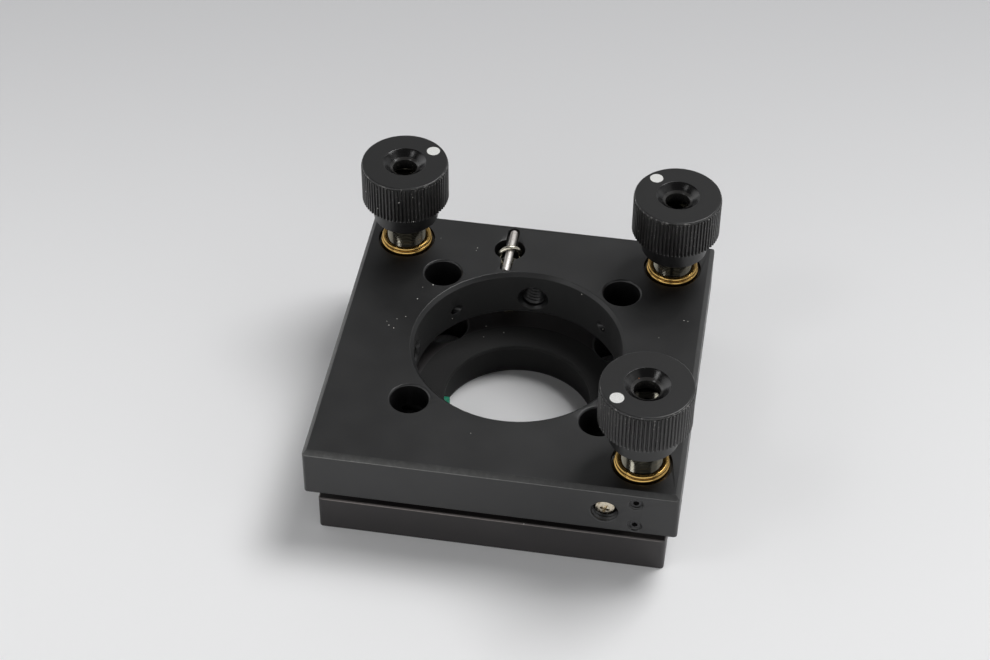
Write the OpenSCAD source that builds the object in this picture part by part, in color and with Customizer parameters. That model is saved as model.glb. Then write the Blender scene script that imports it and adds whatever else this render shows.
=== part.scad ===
// Kinematic mirror mount: a fixed back plate carries three fine adjusters, and two springs pull
// the front plate, which holds the optic, against their ball tips.
// Millimetres. The origin is the centre of the optic bore on the front plate's outer face,
// and +Z runs along the optical axis towards the knobs.

/* [Plates] */
// Side of the square back plate
back_w = 58.4; // [58.4:0.1:76]
// Thickness of the back plate
back_t = 8.8; // [7.2:0.1:14]
// Step from the back plate's edge in to the front plate's edge
front_inset = 1.7; // [1:0.1:1.9]
// Thickness of the front plate
front_t = 6.5; // [6.2:0.1:9]
// Gap between the two plates with the adjusters at mid setting
plate_gap = 3.1; // [2.6:0.1:4.5]
// Chamfer on the back plate's upper edges
top_chamfer = 0.7; // [0.3:0.1:1]
// Rounding of the plates' lower edges
edge_round = 0.1; // [0.05:0.05:0.6]
// Rounding of the plates' upright corners
corner_round = 0.6; // [0.2:0.1:1.2]
// Chamfer on the front plate's upper edges
front_chamfer = 0.2; // [0.1:0.05:0.5]

/* [Optic] */
// Radius of the optic that the mount holds
optic_r = 12.7; // [10:0.1:13.5]
// Radial play around the optic
optic_play = 0.05; // [0.02:0.01:0.1]
// Width of the lip that the optic rests against
lip_w = 0.7; // [0.4:0.1:1.5]
// Thickness of that lip
lip_t = 0.8; // [0.5:0.1:1.5]
// Radius of the clear bore in the back plate
clear_r = 16.85; // [14:0.05:16.9]
// Chamfer around the clear bore
clear_chamfer = 0.6; // [0.2:0.1:0.8]
// Height of the optic's set screw above the front face
optic_screw_z = 2.9; // [2.6:0.1:3.4]
// Length of the optic's set screw without its tip
optic_screw_len = 11.5; // [6:0.5:12]
// Radius of the soft tip of the optic's set screw
tip_r = 1.1; // [0.8:0.1:1.4]
// Length of the soft tip
tip_len = 1.6; // [1.2:0.1:2]
// How far the soft tip stands into the optic bore
tip_reach = 1.35; // [0.2:0.05:1.4]

/* [Cage rods] */
// Spacing of the four cage rods
cage_pitch = 30; // [29:0.5:31]
// Radius of a cage rod
rod_r = 3; // [2.5:0.1:3]
// Radial play around a cage rod
rod_play = 0.05; // [0.02:0.01:0.15]
// Chamfer at the mouths of the rod bores
rod_chamfer = 0.25; // [0.1:0.05:0.3]
// Radial room around a rod where it passes through the front plate
rod_room = 1.15; // [0.8:0.05:1.2]

/* [Adjusters] */
// Distance of each adjuster from the back plate's two nearest edges
adj_inset = 6.6; // [6.2:0.1:7.5]
// Radius of the fine adjuster thread
thread_r = 3.175; // [2.5:0.025:3.2]
// Radial running clearance of the adjuster in its bushing
thread_play = 0.04; // [0.02:0.01:0.08]
// Radius of the ball tips
ball_r = 1.985; // [1.8:0.005:2.2]
// Height of the ball centres above the front plate's upper face
ball_rise = 1; // [0.9:0.05:1.2]
// Gap left between each ball and its seat
ball_play = 0.1; // [0.06:0.01:0.15]
// Radius of the hardened seats
seat_r = 3; // [2.6:0.1:3.2]
// Depth of the seat pockets
seat_depth = 3.3; // [3:0.1:3.6]

/* [Bushings] */
// Wall of the bushing's body
bushing_wall = 0.535; // [0.4:0.005:0.55]
// Radius of the lower of the bushing's two rings
ring_r = 4.35; // [4.2:0.05:4.5]
// Radius of the upper ring
lip_ring_r = 4.2; // [4:0.05:4.3]
// Height of the bushing above the back plate
bushing_rise = 1.1; // [0.8:0.1:1.5]
// Depth of the counterbore around the rings
counterbore_depth = 0.9; // [0.6:0.1:1.3]
// Radial gap between the lower ring and its counterbore
counterbore_gap = 0.4; // [0.2:0.05:0.5]
// Gap from the bushing's lower end to the back plate's lower face
bushing_short = 0.3; // [0.1:0.1:0.8]

/* [Knobs] */
// Radius over the flutes
knob_r = 7.2; // [6.5:0.1:8]
// Full height of a knob
knob_h = 11.2; // [9.5:0.1:13]
// Radius of the smooth hub
hub_r = 5.4; // [4.6:0.1:6]
// Height of the smooth hub
hub_h = 4.05; // [2:0.05:5]
// Height of the plain band above the flutes
band_h = 0.5; // [0.3:0.1:1]
// Number of flutes
flute_count = 72; // [48:1:84]
// Depth of a flute
flute_depth = 0.24; // [0.1:0.02:0.3]
// Radius of the dished recess in the top
dish_r = 3.55; // [3:0.05:4]
// Radius of the hole for the key
key_hole_r = 2; // [1.5:0.1:2.4]
// Depth of the dished recess
dish_depth = 0.9; // [0.5:0.1:1.2]
// Height of knob A's hub above the back plate
lift_a = 5.4; // [4.5:0.05:7]
// Height of knob B's hub above the back plate
lift_b = 4.55; // [4.5:0.05:7]
// Height of knob C's hub above the back plate
lift_c = 5.6; // [4.5:0.05:7]
// Width across the flats of the key socket
key_af = 1.98; // [1.5:0.01:2.5]

/* [Springs] */
// Offset of each spring from the middle of its side
spring_shift = 4.9; // [4.8:0.1:5.5]
// Wire diameter
wire_d = 0.75; // [0.6:0.05:0.8]
// Outer diameter of the coils
coil_od = 4.4; // [4:0.1:4.5]
// Number of turns between the two hooks
coil_turns = 11; // [8:1:14]
// Turn of the hooks off square to their pins
hook_turn = 19; // [0:1:25]
// Radial room around a spring in its well
well_room = 0.4; // [0.3:0.05:0.45]
// Radius of the anchor pins
pin_r = 0.675; // [0.5:0.025:0.75]
// Length of the anchor pins in the back plate
back_pin_len = 10.1; // [8:0.1:10.4]
// Length of the anchor pins in the front plate
front_pin_len = 8.1; // [7:0.1:8.3]
// Room around a pin in its slot, side to side
slot_room = 0.65; // [0.3:0.05:0.9]
// Depth of the pin slots in the back plate
back_slot_depth = 1.33; // [1.2:0.01:1.5]
// Depth of the pin slots in the front plate
front_slot_depth = 2.45; // [2.4:0.05:2.8]

/* [Screws] */
// Radius of the three tapped holes for a post
tap_r = 2; // [1.5:0.05:2]
// Height of those holes above the back plate's lower face
tap_up = 3.5; // [3:0.1:4.2]
// Radius of the screws that hold the bushings
grub_r = 1; // [0.7:0.05:1]
// Radial play around each small screw
screw_play = 0.02; // [0.01:0.01:0.05]
// Height of the lower bushing screw above the back plate's lower face
grub_up = 1.4; // [1.2:0.1:1.6]
// Depth of the upper bushing screw below the back plate's upper face
grub_down = 2.6; // [2.1:0.1:2.6]
// How far the small screws sit inside their holes
grub_sink = 0.4; // [0.2:0.1:0.8]
// Chamfer at the mouths of the small screws' holes
screw_chamfer = 0.2; // [0.05:0.05:0.2]
// Height of the rod lock screws above the back plate's lower face
lock_up = 3.8; // [3.4:0.1:4.2]
// Sideways offset of the lock screw beside adjuster C from its rod
lock_shift_c = 2.85; // [2.7:0.05:2.85]
// Sideways offset of the other lock screws from their rods
lock_shift = 3.3; // [2.8:0.1:3.3]
// Radius of a lock screw's shank
lock_r = 0.8; // [0.6:0.05:0.8]
// Radius of a lock screw's head
lock_head_r = 1.55; // [1.3:0.05:1.7]
// Height of a lock screw's head
lock_head_h = 1.1; // [0.8:0.1:1.2]
// Depth of the lock screws' counterbores
lock_bore_depth = 2.1; // [1.9:0.1:2.2]
// Radius of the lock screws' counterbores
lock_bore_r = 2.05; // [1.9:0.05:2.1]

/* [Hidden] */
$fn = 64;
eps = 0.01;
front_w = back_w - 2 * front_inset;
back_z = front_t + plate_gap;
top_z = back_z + back_t;
adj_at = back_w / 2 - adj_inset;
rod_at = cage_pitch / 2;
ball_z = front_t + ball_rise;
// Plan position of adjusters A, B and C
ADJUSTERS = [[-adj_at, adj_at], [adj_at, adj_at], [adj_at, -adj_at]];
LIFTS = [lift_a, lift_b, lift_c];
// Optic bore, and the lip that narrows it
bore_r = optic_r + optic_play;
lip_r = bore_r - lip_w;
// Radius of the bushing's body, and of the holes that hold the bushing and its rings
bushing_bore_r = thread_r + thread_play;
bushing_r = bushing_bore_r + bushing_wall;
bushing_hole_r = bushing_r + screw_play;
counterbore_r = ring_r + counterbore_gap;
// Material left between the knob's top and the end of its screw bore
knob_roof = 2.8;
screw_gap = 0.05;
screw_top = top_z + min(LIFTS) + knob_h - knob_roof - screw_gap;
// The screw's nose, above the ball's centre
nose_up = 0.4;
nose_r = 2.5;
nose_h = 1.2;
nose_end_r = min(nose_r, thread_r - 0.3);
socket_play = 0.015;
socket_depth = 3;
// Springs: mean coil radius, and the heights of the pins and of the two hooks' centres
coil_r = (coil_od - wire_d) / 2;
hook_play = 0.03;
well_r = coil_od / 2 + well_room;
back_pin_z = top_z - back_slot_depth + pin_r;
front_pin_z = front_slot_depth - pin_r;
hook_lift = pin_r + hook_play + wire_d / 2 - coil_r;
back_hook_z = back_pin_z + hook_lift;
front_hook_z = front_pin_z - hook_lift;
bend_h = 1.7;
slot_w = 2 * pin_r + slot_room;
slot_end_room = 0.45;
// Small screws of the back plate
bushing_screw_len = adj_inset - bushing_r - screw_play - grub_sink;
lock_hole_r = lock_r + screw_play;
head_gap = lock_bore_depth - lock_head_h;
tap_chamfer = 0.42;
optic_screw_r = 2.05;
// Length of a lock screw's shank, from its head to the flank of its rod
function rod_flank(shift) = sqrt(pow(rod_r + rod_play, 2) - pow(shift - lock_r, 2));
function shank_len(shift) = back_w / 2 - rod_at - rod_flank(shift) - lock_bore_depth - rod_play;

// Points of an arc about [x, y], from angle a to angle b
function arc(x, y, r, a, b, n = 5) =
    [for (i = [0:n]) [x + r * cos(a + (b - a) * i / n), y + r * sin(a + (b - a) * i / n)]];

// Side view of a plate: rounded below, chamfered above
function plate_side(w, h, top) = concat(
    arc(w / 2 - edge_round, edge_round, edge_round, -90, 0, 3),
    [[w / 2, h - top], [w / 2 - top, h], [top - w / 2, h], [-w / 2, h - top]],
    arc(edge_round - w / 2, edge_round, edge_round, 180, 270, 3));

// Plan of a plate with rounded corners
function plate_plan(w, r) = [for (q = [0:3]) let (at = (w / 2 - r) * sqrt(2), a = 90 * q + 45)
    each arc(at * cos(a), at * sin(a), r, a - 45, a + 45, 4)];

module plate(w, h, top) {
    intersection() {
        linear_extrude(h) polygon(plate_plan(w, corner_round));
        rotate([90, 0, 0]) linear_extrude(w + 2, center = true) polygon(plate_side(w, h, top));
        rotate([90, 0, 90]) linear_extrude(w + 2, center = true) polygon(plate_side(w, h, top));
    }
}

// A hole through from z = a to z = b, chamfered at both mouths
module chamfered_hole(r, c, a, b) {
    translate([0, 0, a - 1]) cylinder(r = r, h = b - a + 2);
    translate([0, 0, b - c]) cylinder(r1 = r, r2 = r + c + eps, h = c + eps);
    translate([0, 0, a - eps]) cylinder(r1 = r + c + eps, r2 = r, h = c + eps);
}

// Puts its children at the four rod positions
module at_rods() {
    for (x = [-rod_at, rod_at]) {
        for (y = [-rod_at, rod_at]) {
            translate([x, y, 0]) children();
        }
    }
}

// Puts its children, drawn along -X from the origin, on one side face: 0 right, 1 back, 2 left, 3 front.
// s is the distance along that face, and w is the plate's side.
module from_side(side, s, z, w) {
    rotate([0, 0, 90 * side]) translate([w / 2, s, z]) rotate([0, -90, 0]) children();
}

// Puts its children at the six set screws of the bushings, two on the side face nearest each
module at_bushing_screws() {
    for (z = [back_z + grub_up, top_z - grub_down]) {
        from_side(3, adj_at, z, back_w) children();
        from_side(2, -adj_at, z, back_w) children();
        from_side(0, adj_at, z, back_w) children();
    }
}

// Puts its children at the three lock screws that pass between their rods and the clear bore
module at_inner_locks() {
    from_side(0, rod_at - lock_shift, back_z + lock_up, back_w) children();
    from_side(2, rod_at - lock_shift, back_z + lock_up, back_w) children();
    from_side(2, lock_shift - rod_at, back_z + lock_up, back_w) children();
}

// Puts its children at the lock screw of the rod nearest adjuster C, outside that rod
module at_outer_lock() {
    from_side(3, rod_at + lock_shift_c, back_z + lock_up, back_w) children();
}

// A slot for an anchor pin of length len, cut along Y from the face at z = 0 down to -depth
module pin_slot(len, depth) {
    half = (len - slot_w) / 2 + slot_end_room;
    translate([-slot_w / 2, -half, -depth]) cube([slot_w, 2 * half, depth + 1]);
    for (y = [-half, half]) {
        translate([0, y, -depth]) cylinder(r = slot_w / 2, h = depth + 1);
    }
}

// Puts its children at spring 1 or 2. The mount is its own mirror image about the diagonal,
// so spring 2 is spring 1 mirrored.
module at_spring(i) {
    if (i == 1) translate([-spring_shift, adj_at, 0]) children();
    if (i == 2) mirror([1, -1, 0]) translate([-spring_shift, adj_at, 0]) children();
}

module back_plate() {
    color([0.13, 0.13, 0.14]) difference() {
        translate([0, 0, back_z]) plate(back_w, back_t, top_chamfer);
        chamfered_hole(clear_r, clear_chamfer, back_z, top_z);
        at_rods() chamfered_hole(rod_r + rod_play, rod_chamfer, back_z, top_z);
        for (a = ADJUSTERS) {
            translate([a.x, a.y, back_z - 1]) cylinder(r = bushing_hole_r, h = back_t + 2);
            translate([a.x, a.y, top_z - counterbore_depth]) cylinder(r = counterbore_r, h = 2);
        }
        for (i = [1, 2]) {
            at_spring(i) translate([0, 0, back_z - 1]) cylinder(r = well_r, h = back_t + 2);
            at_spring(i) translate([0, 0, top_z]) pin_slot(back_pin_len, back_slot_depth);
        }
        for (side = [0, 1, 2]) from_side(side, 0, back_z + tap_up, back_w) tapped_hole();
        at_bushing_screws() translate([0, 0, -1]) cylinder(r = grub_r + screw_play, h = adj_inset + 1);
        at_bushing_screws() screw_mouth(grub_r + screw_play);
        at_inner_locks() lock_hole(back_w / 2);
        at_outer_lock() lock_hole(back_w / 2 - rod_at);
    }
}

// A tapped hole for a post, through to the clear bore, with a countersink at its inner mouth
module tapped_hole() {
    depth = back_w / 2 - clear_r;
    translate([0, 0, -1]) cylinder(r = tap_r, h = depth + 3);
    translate([0, 0, -eps]) cylinder(r1 = tap_r + tap_chamfer, r2 = tap_r, h = tap_chamfer);
    translate([0, 0, depth - tap_chamfer])
        cylinder(r1 = tap_r, r2 = tap_r + 2 * tap_chamfer, h = 2 * tap_chamfer);
}

// The chamfer at the mouth of a small hole of radius r
module screw_mouth(r) {
    translate([0, 0, -eps]) cylinder(r1 = r + screw_chamfer + eps, r2 = r, h = screw_chamfer + eps);
}

// The counterbore and shank hole of a lock screw
module lock_hole(depth) {
    screw_mouth(lock_bore_r);
    translate([0, 0, -1]) cylinder(r = lock_bore_r, h = lock_bore_depth + 1);
    cylinder(r = lock_hole_r, h = depth);
}

module front_plate() {
    color([0.2, 0.19, 0.19]) difference() {
        plate(front_w, front_t, front_chamfer);
        translate([0, 0, -1]) cylinder(r = bore_r, h = front_t - lip_t + 1);
        translate([0, 0, -eps]) cylinder(r1 = bore_r + edge_round, r2 = bore_r, h = edge_round);
        translate([0, 0, front_t - lip_t - 1]) cylinder(r = lip_r, h = lip_t + 2);
        translate([0, 0, front_t - front_chamfer])
            cylinder(r1 = lip_r, r2 = lip_r + front_chamfer + eps, h = front_chamfer + eps);
        at_rods() chamfered_hole(rod_r + rod_room, rod_chamfer, 0, front_t);
        for (a = ADJUSTERS) {
            translate([a.x, a.y, front_t - seat_depth]) cylinder(r = seat_r + screw_play, h = seat_depth + 1);
        }
        for (i = [1, 2]) {
            at_spring(i) translate([0, 0, -1]) cylinder(r = well_r, h = front_t + 2);
            at_spring(i) mirror([0, 0, 1]) pin_slot(front_pin_len, front_slot_depth);
        }
        from_side(2, 0, optic_screw_z, front_w) translate([0, 0, -1])
            cylinder(r = optic_screw_r + screw_play, h = front_w / 2 - optic_r + 1.5);
    }
}

// The bushing's section, from its bore outwards, measured from the back plate's upper face
module bushing(i) {
    low = bushing_short - back_t;
    mid = bushing_rise / 2;
    soft = 0.2;
    groove_r = lip_ring_r - 0.2;
    section = concat(
        [[bushing_bore_r, low], [bushing_r, low]],
        [[bushing_r, -counterbore_depth], [ring_r, -counterbore_depth]],
        arc(ring_r - soft, mid - soft - 0.05, soft, 0, 90),
        [[groove_r, mid - 0.05], [groove_r, mid + 0.05]],
        arc(lip_ring_r - soft, mid + 0.05 + soft, soft, -90, 0),
        arc(lip_ring_r - soft, bushing_rise - soft, soft, 0, 90),
        [[bushing_bore_r + 0.4, bushing_rise], [bushing_bore_r, bushing_rise - 0.4]]);
    color([0.79, 0.62, 0.33]) translate([ADJUSTERS[i].x, ADJUSTERS[i].y, top_z])
        rotate_extrude() polygon(section);
}

module bushing_a() { bushing(0); }
module bushing_b() { bushing(1); }
module bushing_c() { bushing(2); }

// The threaded screw, with a nose that holds the ball and a key socket in its upper end
module adjuster_screw(i) {
    low = ball_z + nose_up;
    end = 0.3;
    section = [[0, low], [nose_end_r, low], [thread_r, low + nose_h], [thread_r, screw_top - end],
        [thread_r - end, screw_top], [0, screw_top]];
    color([0.72, 0.72, 0.66]) translate([ADJUSTERS[i].x, ADJUSTERS[i].y, 0]) difference() {
        rotate_extrude() polygon(section);
        translate([0, 0, ball_z]) sphere(r = ball_r + socket_play);
        translate([0, 0, screw_top - socket_depth])
            cylinder(d = key_af / cos(30), h = socket_depth + 1, $fn = 6);
    }
}

module adjuster_screw_a() { adjuster_screw(0); }
module adjuster_screw_b() { adjuster_screw(1); }
module adjuster_screw_c() { adjuster_screw(2); }

module ball_tip(i) {
    color([0.8, 0.8, 0.8]) translate([ADJUSTERS[i].x, ADJUSTERS[i].y, ball_z]) sphere(r = ball_r);
}

module ball_tip_a() { ball_tip(0); }
module ball_tip_b() { ball_tip(1); }
module ball_tip_c() { ball_tip(2); }

// Outline of the fluted grip: a narrow crest and a V between each pair of crests
function flutes() = [for (k = [0:flute_count - 1]) let (step = 360 / flute_count) each [
    for (p = [[-0.17, 0], [0.17, 0], [0.42, flute_depth], [0.58, flute_depth]])
        (knob_r - p[1]) * [cos((k + p[0]) * step), sin((k + p[0]) * step)]]];

module knob(i) {
    soft = 0.25;
    grip_top = knob_h - band_h;
    band_r = knob_r - 0.1;
    hub = [[0, 0], [hub_r - soft, 0], [hub_r, soft], [hub_r, hub_h + eps], [0, hub_h + eps]];
    band = concat([[0, grip_top - eps], [band_r - 0.15, grip_top - eps], [band_r, grip_top + 0.15]],
        arc(band_r - soft, knob_h - soft, soft, 0, 90), [[0, knob_h]]);
    dish_z = knob_h - dish_depth;
    key = [[0, 0], [key_hole_r, 0], [key_hole_r, dish_z - 0.3], [key_hole_r + 0.45, dish_z],
        [dish_r, knob_h], [dish_r, knob_h + 1], [0, knob_h + 1]];
    color([0.1, 0.1, 0.1]) translate([ADJUSTERS[i].x, ADJUSTERS[i].y, top_z + LIFTS[i]]) difference() {
        union() {
            rotate_extrude() polygon(hub);
            translate([0, 0, hub_h]) linear_extrude(grip_top - hub_h) polygon(flutes());
            rotate_extrude() polygon(band);
        }
        rotate_extrude() polygon(key);
        translate([0, 0, -1]) cylinder(r = thread_r, h = knob_h - knob_roof + 1);
    }
}

module knob_a() { knob(0); }
module knob_b() { knob(1); }
module knob_c() { knob(2); }

// The disc that each seat is cut from, up to z = top
module seat_blank(i, top) {
    floor_z = front_t - seat_depth;
    translate([ADJUSTERS[i].x, ADJUSTERS[i].y, floor_z]) cylinder(r = seat_r, h = top - floor_z);
}

// Depth below the ball's centre of the point where 45 degree flanks meet
function flank_drop() = (ball_r + ball_play) * sqrt(2);

module groove_seat_a() {
    half = flank_drop();
    color([0.6, 0.6, 0.62]) difference() {
        seat_blank(0, front_t);
        translate([ADJUSTERS[0].x, ADJUSTERS[0].y, ball_z - half]) rotate([90, 0, 90])
            linear_extrude(2 * seat_r + 2, center = true) polygon([[0, 0], [half, half], [-half, half]]);
    }
}

module cone_seat_b() {
    half = flank_drop();
    color([0.6, 0.6, 0.62]) difference() {
        seat_blank(1, front_t);
        translate([ADJUSTERS[1].x, ADJUSTERS[1].y, ball_z - half]) cylinder(r1 = 0, r2 = half, h = half);
    }
}

module flat_seat_c() {
    color([0.6, 0.6, 0.62]) seat_blank(2, ball_z - ball_r - ball_play);
}

// Centre line of a spring from its lower hook's end to its upper hook's end.
// Each hook is a ring across the axis, joined to the coils by a quarter turn that bends upright.
function coil_point(a, z) = [coil_r * cos(a), coil_r * sin(a), z];
function hook_up() = [for (a = [0:15:300]) [coil_r * cos(a), 0, back_hook_z + coil_r * sin(a)]];
function bend_up() = [for (s = [0:15:75]) coil_point(90 * sin(s) - 90, back_hook_z - bend_h * cos(s))];
function half_turn_down(p) = [p.x, -p.y, front_hook_z + back_hook_z - p.z];
function flip(path) = [for (k = [len(path) - 1:-1:0]) half_turn_down(path[k])];
function coils(low, high, steps) =
    [for (k = [1:steps - 1]) coil_point(90 + 18 * k, low + (high - low) * k / steps)];
function spring_path() = concat(flip(hook_up()), flip(bend_up()),
    coils(front_hook_z + bend_h, back_hook_z - bend_h, coil_turns * 20 - 10), bend_up(), hook_up());

// Ring of points across the path at each of its points, and the skin over them
function unit(v) = v / norm(v);
function tangent(path, k) = unit(path[min(k + 1, len(path) - 1)] - path[max(k - 1, 0)]);
function carry(path, k, side) = let (t = tangent(path, k)) unit(side - (side * t) * t);
function sides(path, k = 0, side = [0.1, 1, 0.1]) = k == len(path) ? [] :
    let (s = carry(path, k, side)) concat([s], sides(path, k + 1, s));
function skin(n, m) = [for (k = [0:n - 2]) for (j = [0:m - 1]) let (a = k * m, b = (j + 1) % m)
    each [[a + j, a + m + j, a + b], [a + b, a + m + j, a + m + b]]];

module wire(path) {
    m = 8;
    n = len(path);
    side = sides(path);
    rings = [for (k = [0:n - 1]) let (t = tangent(path, k), s = side[k], c = cross(t, s))
        for (j = [0:m - 1]) path[k] + wire_d / 2 * (s * cos(45 * j) + c * sin(45 * j))];
    ends = [[for (j = [0:m - 1]) j], [for (j = [m - 1:-1:0]) (n - 1) * m + j]];
    polyhedron(rings, concat(skin(n, m), ends));
}

module spring(i) {
    color([0.75, 0.73, 0.66]) at_spring(i) rotate([0, 0, hook_turn]) wire(spring_path());
}

module spring_1() { spring(1); }
module spring_2() { spring(2); }

// An anchor pin, lying along Y with domed ends
module pin(i, z, len) {
    dome = 0.25;
    half = len / 2;
    section = concat([[0, -half]], arc(pin_r - dome, dome - half, dome, -90, 0, 3),
        arc(pin_r - dome, half - dome, dome, 0, 90, 3), [[0, half]]);
    color([0.8, 0.8, 0.78]) at_spring(i) translate([0, 0, z]) rotate([90, 0, 0])
        rotate_extrude() polygon(section);
}

module back_pin_1() { pin(1, back_pin_z, back_pin_len); }
module back_pin_2() { pin(2, back_pin_z, back_pin_len); }
module front_pin_1() { pin(1, front_pin_z, front_pin_len); }
module front_pin_2() { pin(2, front_pin_z, front_pin_len); }

// A headless screw along +Z with a key socket at z = 0
module grub(r, len, af) {
    end = 0.15;
    difference() {
        rotate_extrude() polygon([[0, 0], [r - end, 0], [r, end], [r, len - end], [r - end, len], [0, len]]);
        translate([0, 0, -1]) cylinder(d = af / cos(30), h = 1 + len * 0.45, $fn = 6);
    }
}

// Depth of the soft tip's root below the front plate's side face
function tip_root() = front_w / 2 - bore_r + tip_reach - tip_len;

module optic_screw() {
    color([0.15, 0.15, 0.15]) from_side(2, 0, optic_screw_z, front_w)
        translate([0, 0, tip_root() - optic_screw_len]) grub(optic_screw_r, optic_screw_len, key_af);
}

module optic_screw_tip() {
    soft = 0.2;
    section = [[0, 0], [tip_r, 0], [tip_r, tip_len - soft], [tip_r - soft, tip_len], [0, tip_len]];
    color([0.1, 0.55, 0.4]) from_side(2, 0, optic_screw_z, front_w) translate([0, 0, tip_root()])
        rotate_extrude() polygon(section);
}

module bushing_screws() {
    color([0.12, 0.12, 0.12]) at_bushing_screws() translate([0, 0, grub_sink])
        grub(grub_r, bushing_screw_len, 0.89);
}

// A domed screw with a cross recess, its head resting in the counterbore
module lock_screw(shift) {
    len = shank_len(shift);
    soft = 0.35;
    section = concat([[0, 0]], arc(lock_head_r - soft, soft + 0.05, soft, -90, 0),
        [[lock_head_r, lock_head_h], [lock_r, lock_head_h], [lock_r, lock_head_h + len - 0.2],
        [lock_r - 0.2, lock_head_h + len], [0, lock_head_h + len]]);
    translate([0, 0, head_gap]) difference() {
        rotate_extrude() polygon(section);
        for (a = [45, 135]) rotate([0, 0, a]) translate([-0.85, -0.19, -1]) cube([1.7, 0.38, 1.6]);
    }
}

module rod_lock_screws() {
    color([0.78, 0.77, 0.72]) {
        at_inner_locks() lock_screw(lock_shift);
        at_outer_lock() lock_screw(lock_shift_c);
    }
}

back_plate();
front_plate();
bushing_a();
bushing_b();
bushing_c();
adjuster_screw_a();
adjuster_screw_b();
adjuster_screw_c();
ball_tip_a();
ball_tip_b();
ball_tip_c();
knob_a();
knob_b();
knob_c();
groove_seat_a();
cone_seat_b();
flat_seat_c();
spring_1();
spring_2();
back_pin_1();
back_pin_2();
front_pin_1();
front_pin_2();
optic_screw();
optic_screw_tip();
bushing_screws();
rod_lock_screws();
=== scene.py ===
import bpy
import bmesh
import random
from math import radians, sin, cos, pi, sqrt
from mathutils import Matrix, Vector


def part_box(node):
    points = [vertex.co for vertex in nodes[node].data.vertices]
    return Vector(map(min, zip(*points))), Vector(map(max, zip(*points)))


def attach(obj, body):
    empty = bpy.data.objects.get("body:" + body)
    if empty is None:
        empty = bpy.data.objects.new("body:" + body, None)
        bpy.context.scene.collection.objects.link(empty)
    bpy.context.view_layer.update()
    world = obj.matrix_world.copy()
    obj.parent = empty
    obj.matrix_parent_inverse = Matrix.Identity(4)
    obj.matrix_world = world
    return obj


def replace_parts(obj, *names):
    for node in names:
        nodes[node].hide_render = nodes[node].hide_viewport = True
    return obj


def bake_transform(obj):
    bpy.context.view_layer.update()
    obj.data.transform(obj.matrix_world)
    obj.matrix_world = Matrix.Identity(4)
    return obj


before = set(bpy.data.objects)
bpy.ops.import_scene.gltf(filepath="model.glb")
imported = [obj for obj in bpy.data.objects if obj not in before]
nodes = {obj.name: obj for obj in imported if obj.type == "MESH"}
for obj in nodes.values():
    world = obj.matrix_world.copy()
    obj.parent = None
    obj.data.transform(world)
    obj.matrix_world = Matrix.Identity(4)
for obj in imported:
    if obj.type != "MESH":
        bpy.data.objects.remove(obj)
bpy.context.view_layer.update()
scene = bpy.context.scene
scene.view_settings.view_transform = "Standard"
mm = 0.001
weld = 0.001 * mm  # corners nearer than this become one

# the camera comes first
cameraSetup = {"place": (36.28, -256.37, 266.42), "azimuth": 8.885, "elevation": 43.41, "roll": 0.51,
               "lens": 80.88, "sensor": 36, "near": 0.01}
camera = bpy.data.objects.new("camera", bpy.data.cameras.new("camera"))
camera.data.lens = cameraSetup["lens"]
camera.data.sensor_width = cameraSetup["sensor"]
camera.data.clip_start = cameraSetup["near"]
camera.matrix_world = (Matrix.Translation(Vector(cameraSetup["place"]) * mm)
                       @ Matrix.Rotation(radians(cameraSetup["azimuth"]), 4, "Z")
                       @ Matrix.Rotation(radians(90 - cameraSetup["elevation"]), 4, "X")
                       @ Matrix.Rotation(radians(cameraSetup["roll"]), 4, "Z"))
scene.collection.objects.link(camera)
scene.camera = camera
print("camera set")

# places that the pieces are built from, taken from the frame
backLow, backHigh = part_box("back_plate")
frontLow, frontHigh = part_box("front_plate")
topZ = backHigh.z


def middleOf(node):
    low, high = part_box(node)
    return (low + high) / 2


letters = ["a", "b", "c"]
acrossDiagonal = Matrix(((0, 1, 0, 0), (1, 0, 0, 0), (0, 0, 1, 0), (0, 0, 0, 1)))  # swaps X and Y
axes = {letter: middleOf("bushing_" + letter).xy for letter in letters}


# shader maths: one value per socket, joined by the usual operators
class Value:
    def __init__(self, finish, socket):
        self.finish, self.socket = finish, socket

    def __add__(self, other): return self.finish.maths("ADD", self, other)
    def __radd__(self, other): return self.finish.maths("ADD", other, self)
    def __sub__(self, other): return self.finish.maths("SUBTRACT", self, other)
    def __rsub__(self, other): return self.finish.maths("SUBTRACT", other, self)
    def __mul__(self, other): return self.finish.maths("MULTIPLY", self, other)
    def __pow__(self, other): return self.finish.maths("POWER", self, other)
    def __abs__(self): return self.finish.maths("ABSOLUTE", self)

    def between(self, low, high):  # 0 below low, 1 above high, smooth
        return self.finish.add("ShaderNodeMapRange", {"interpolation_type": "SMOOTHSTEP"},
                               {"Value": self, "From Min": low, "From Max": high})


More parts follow.
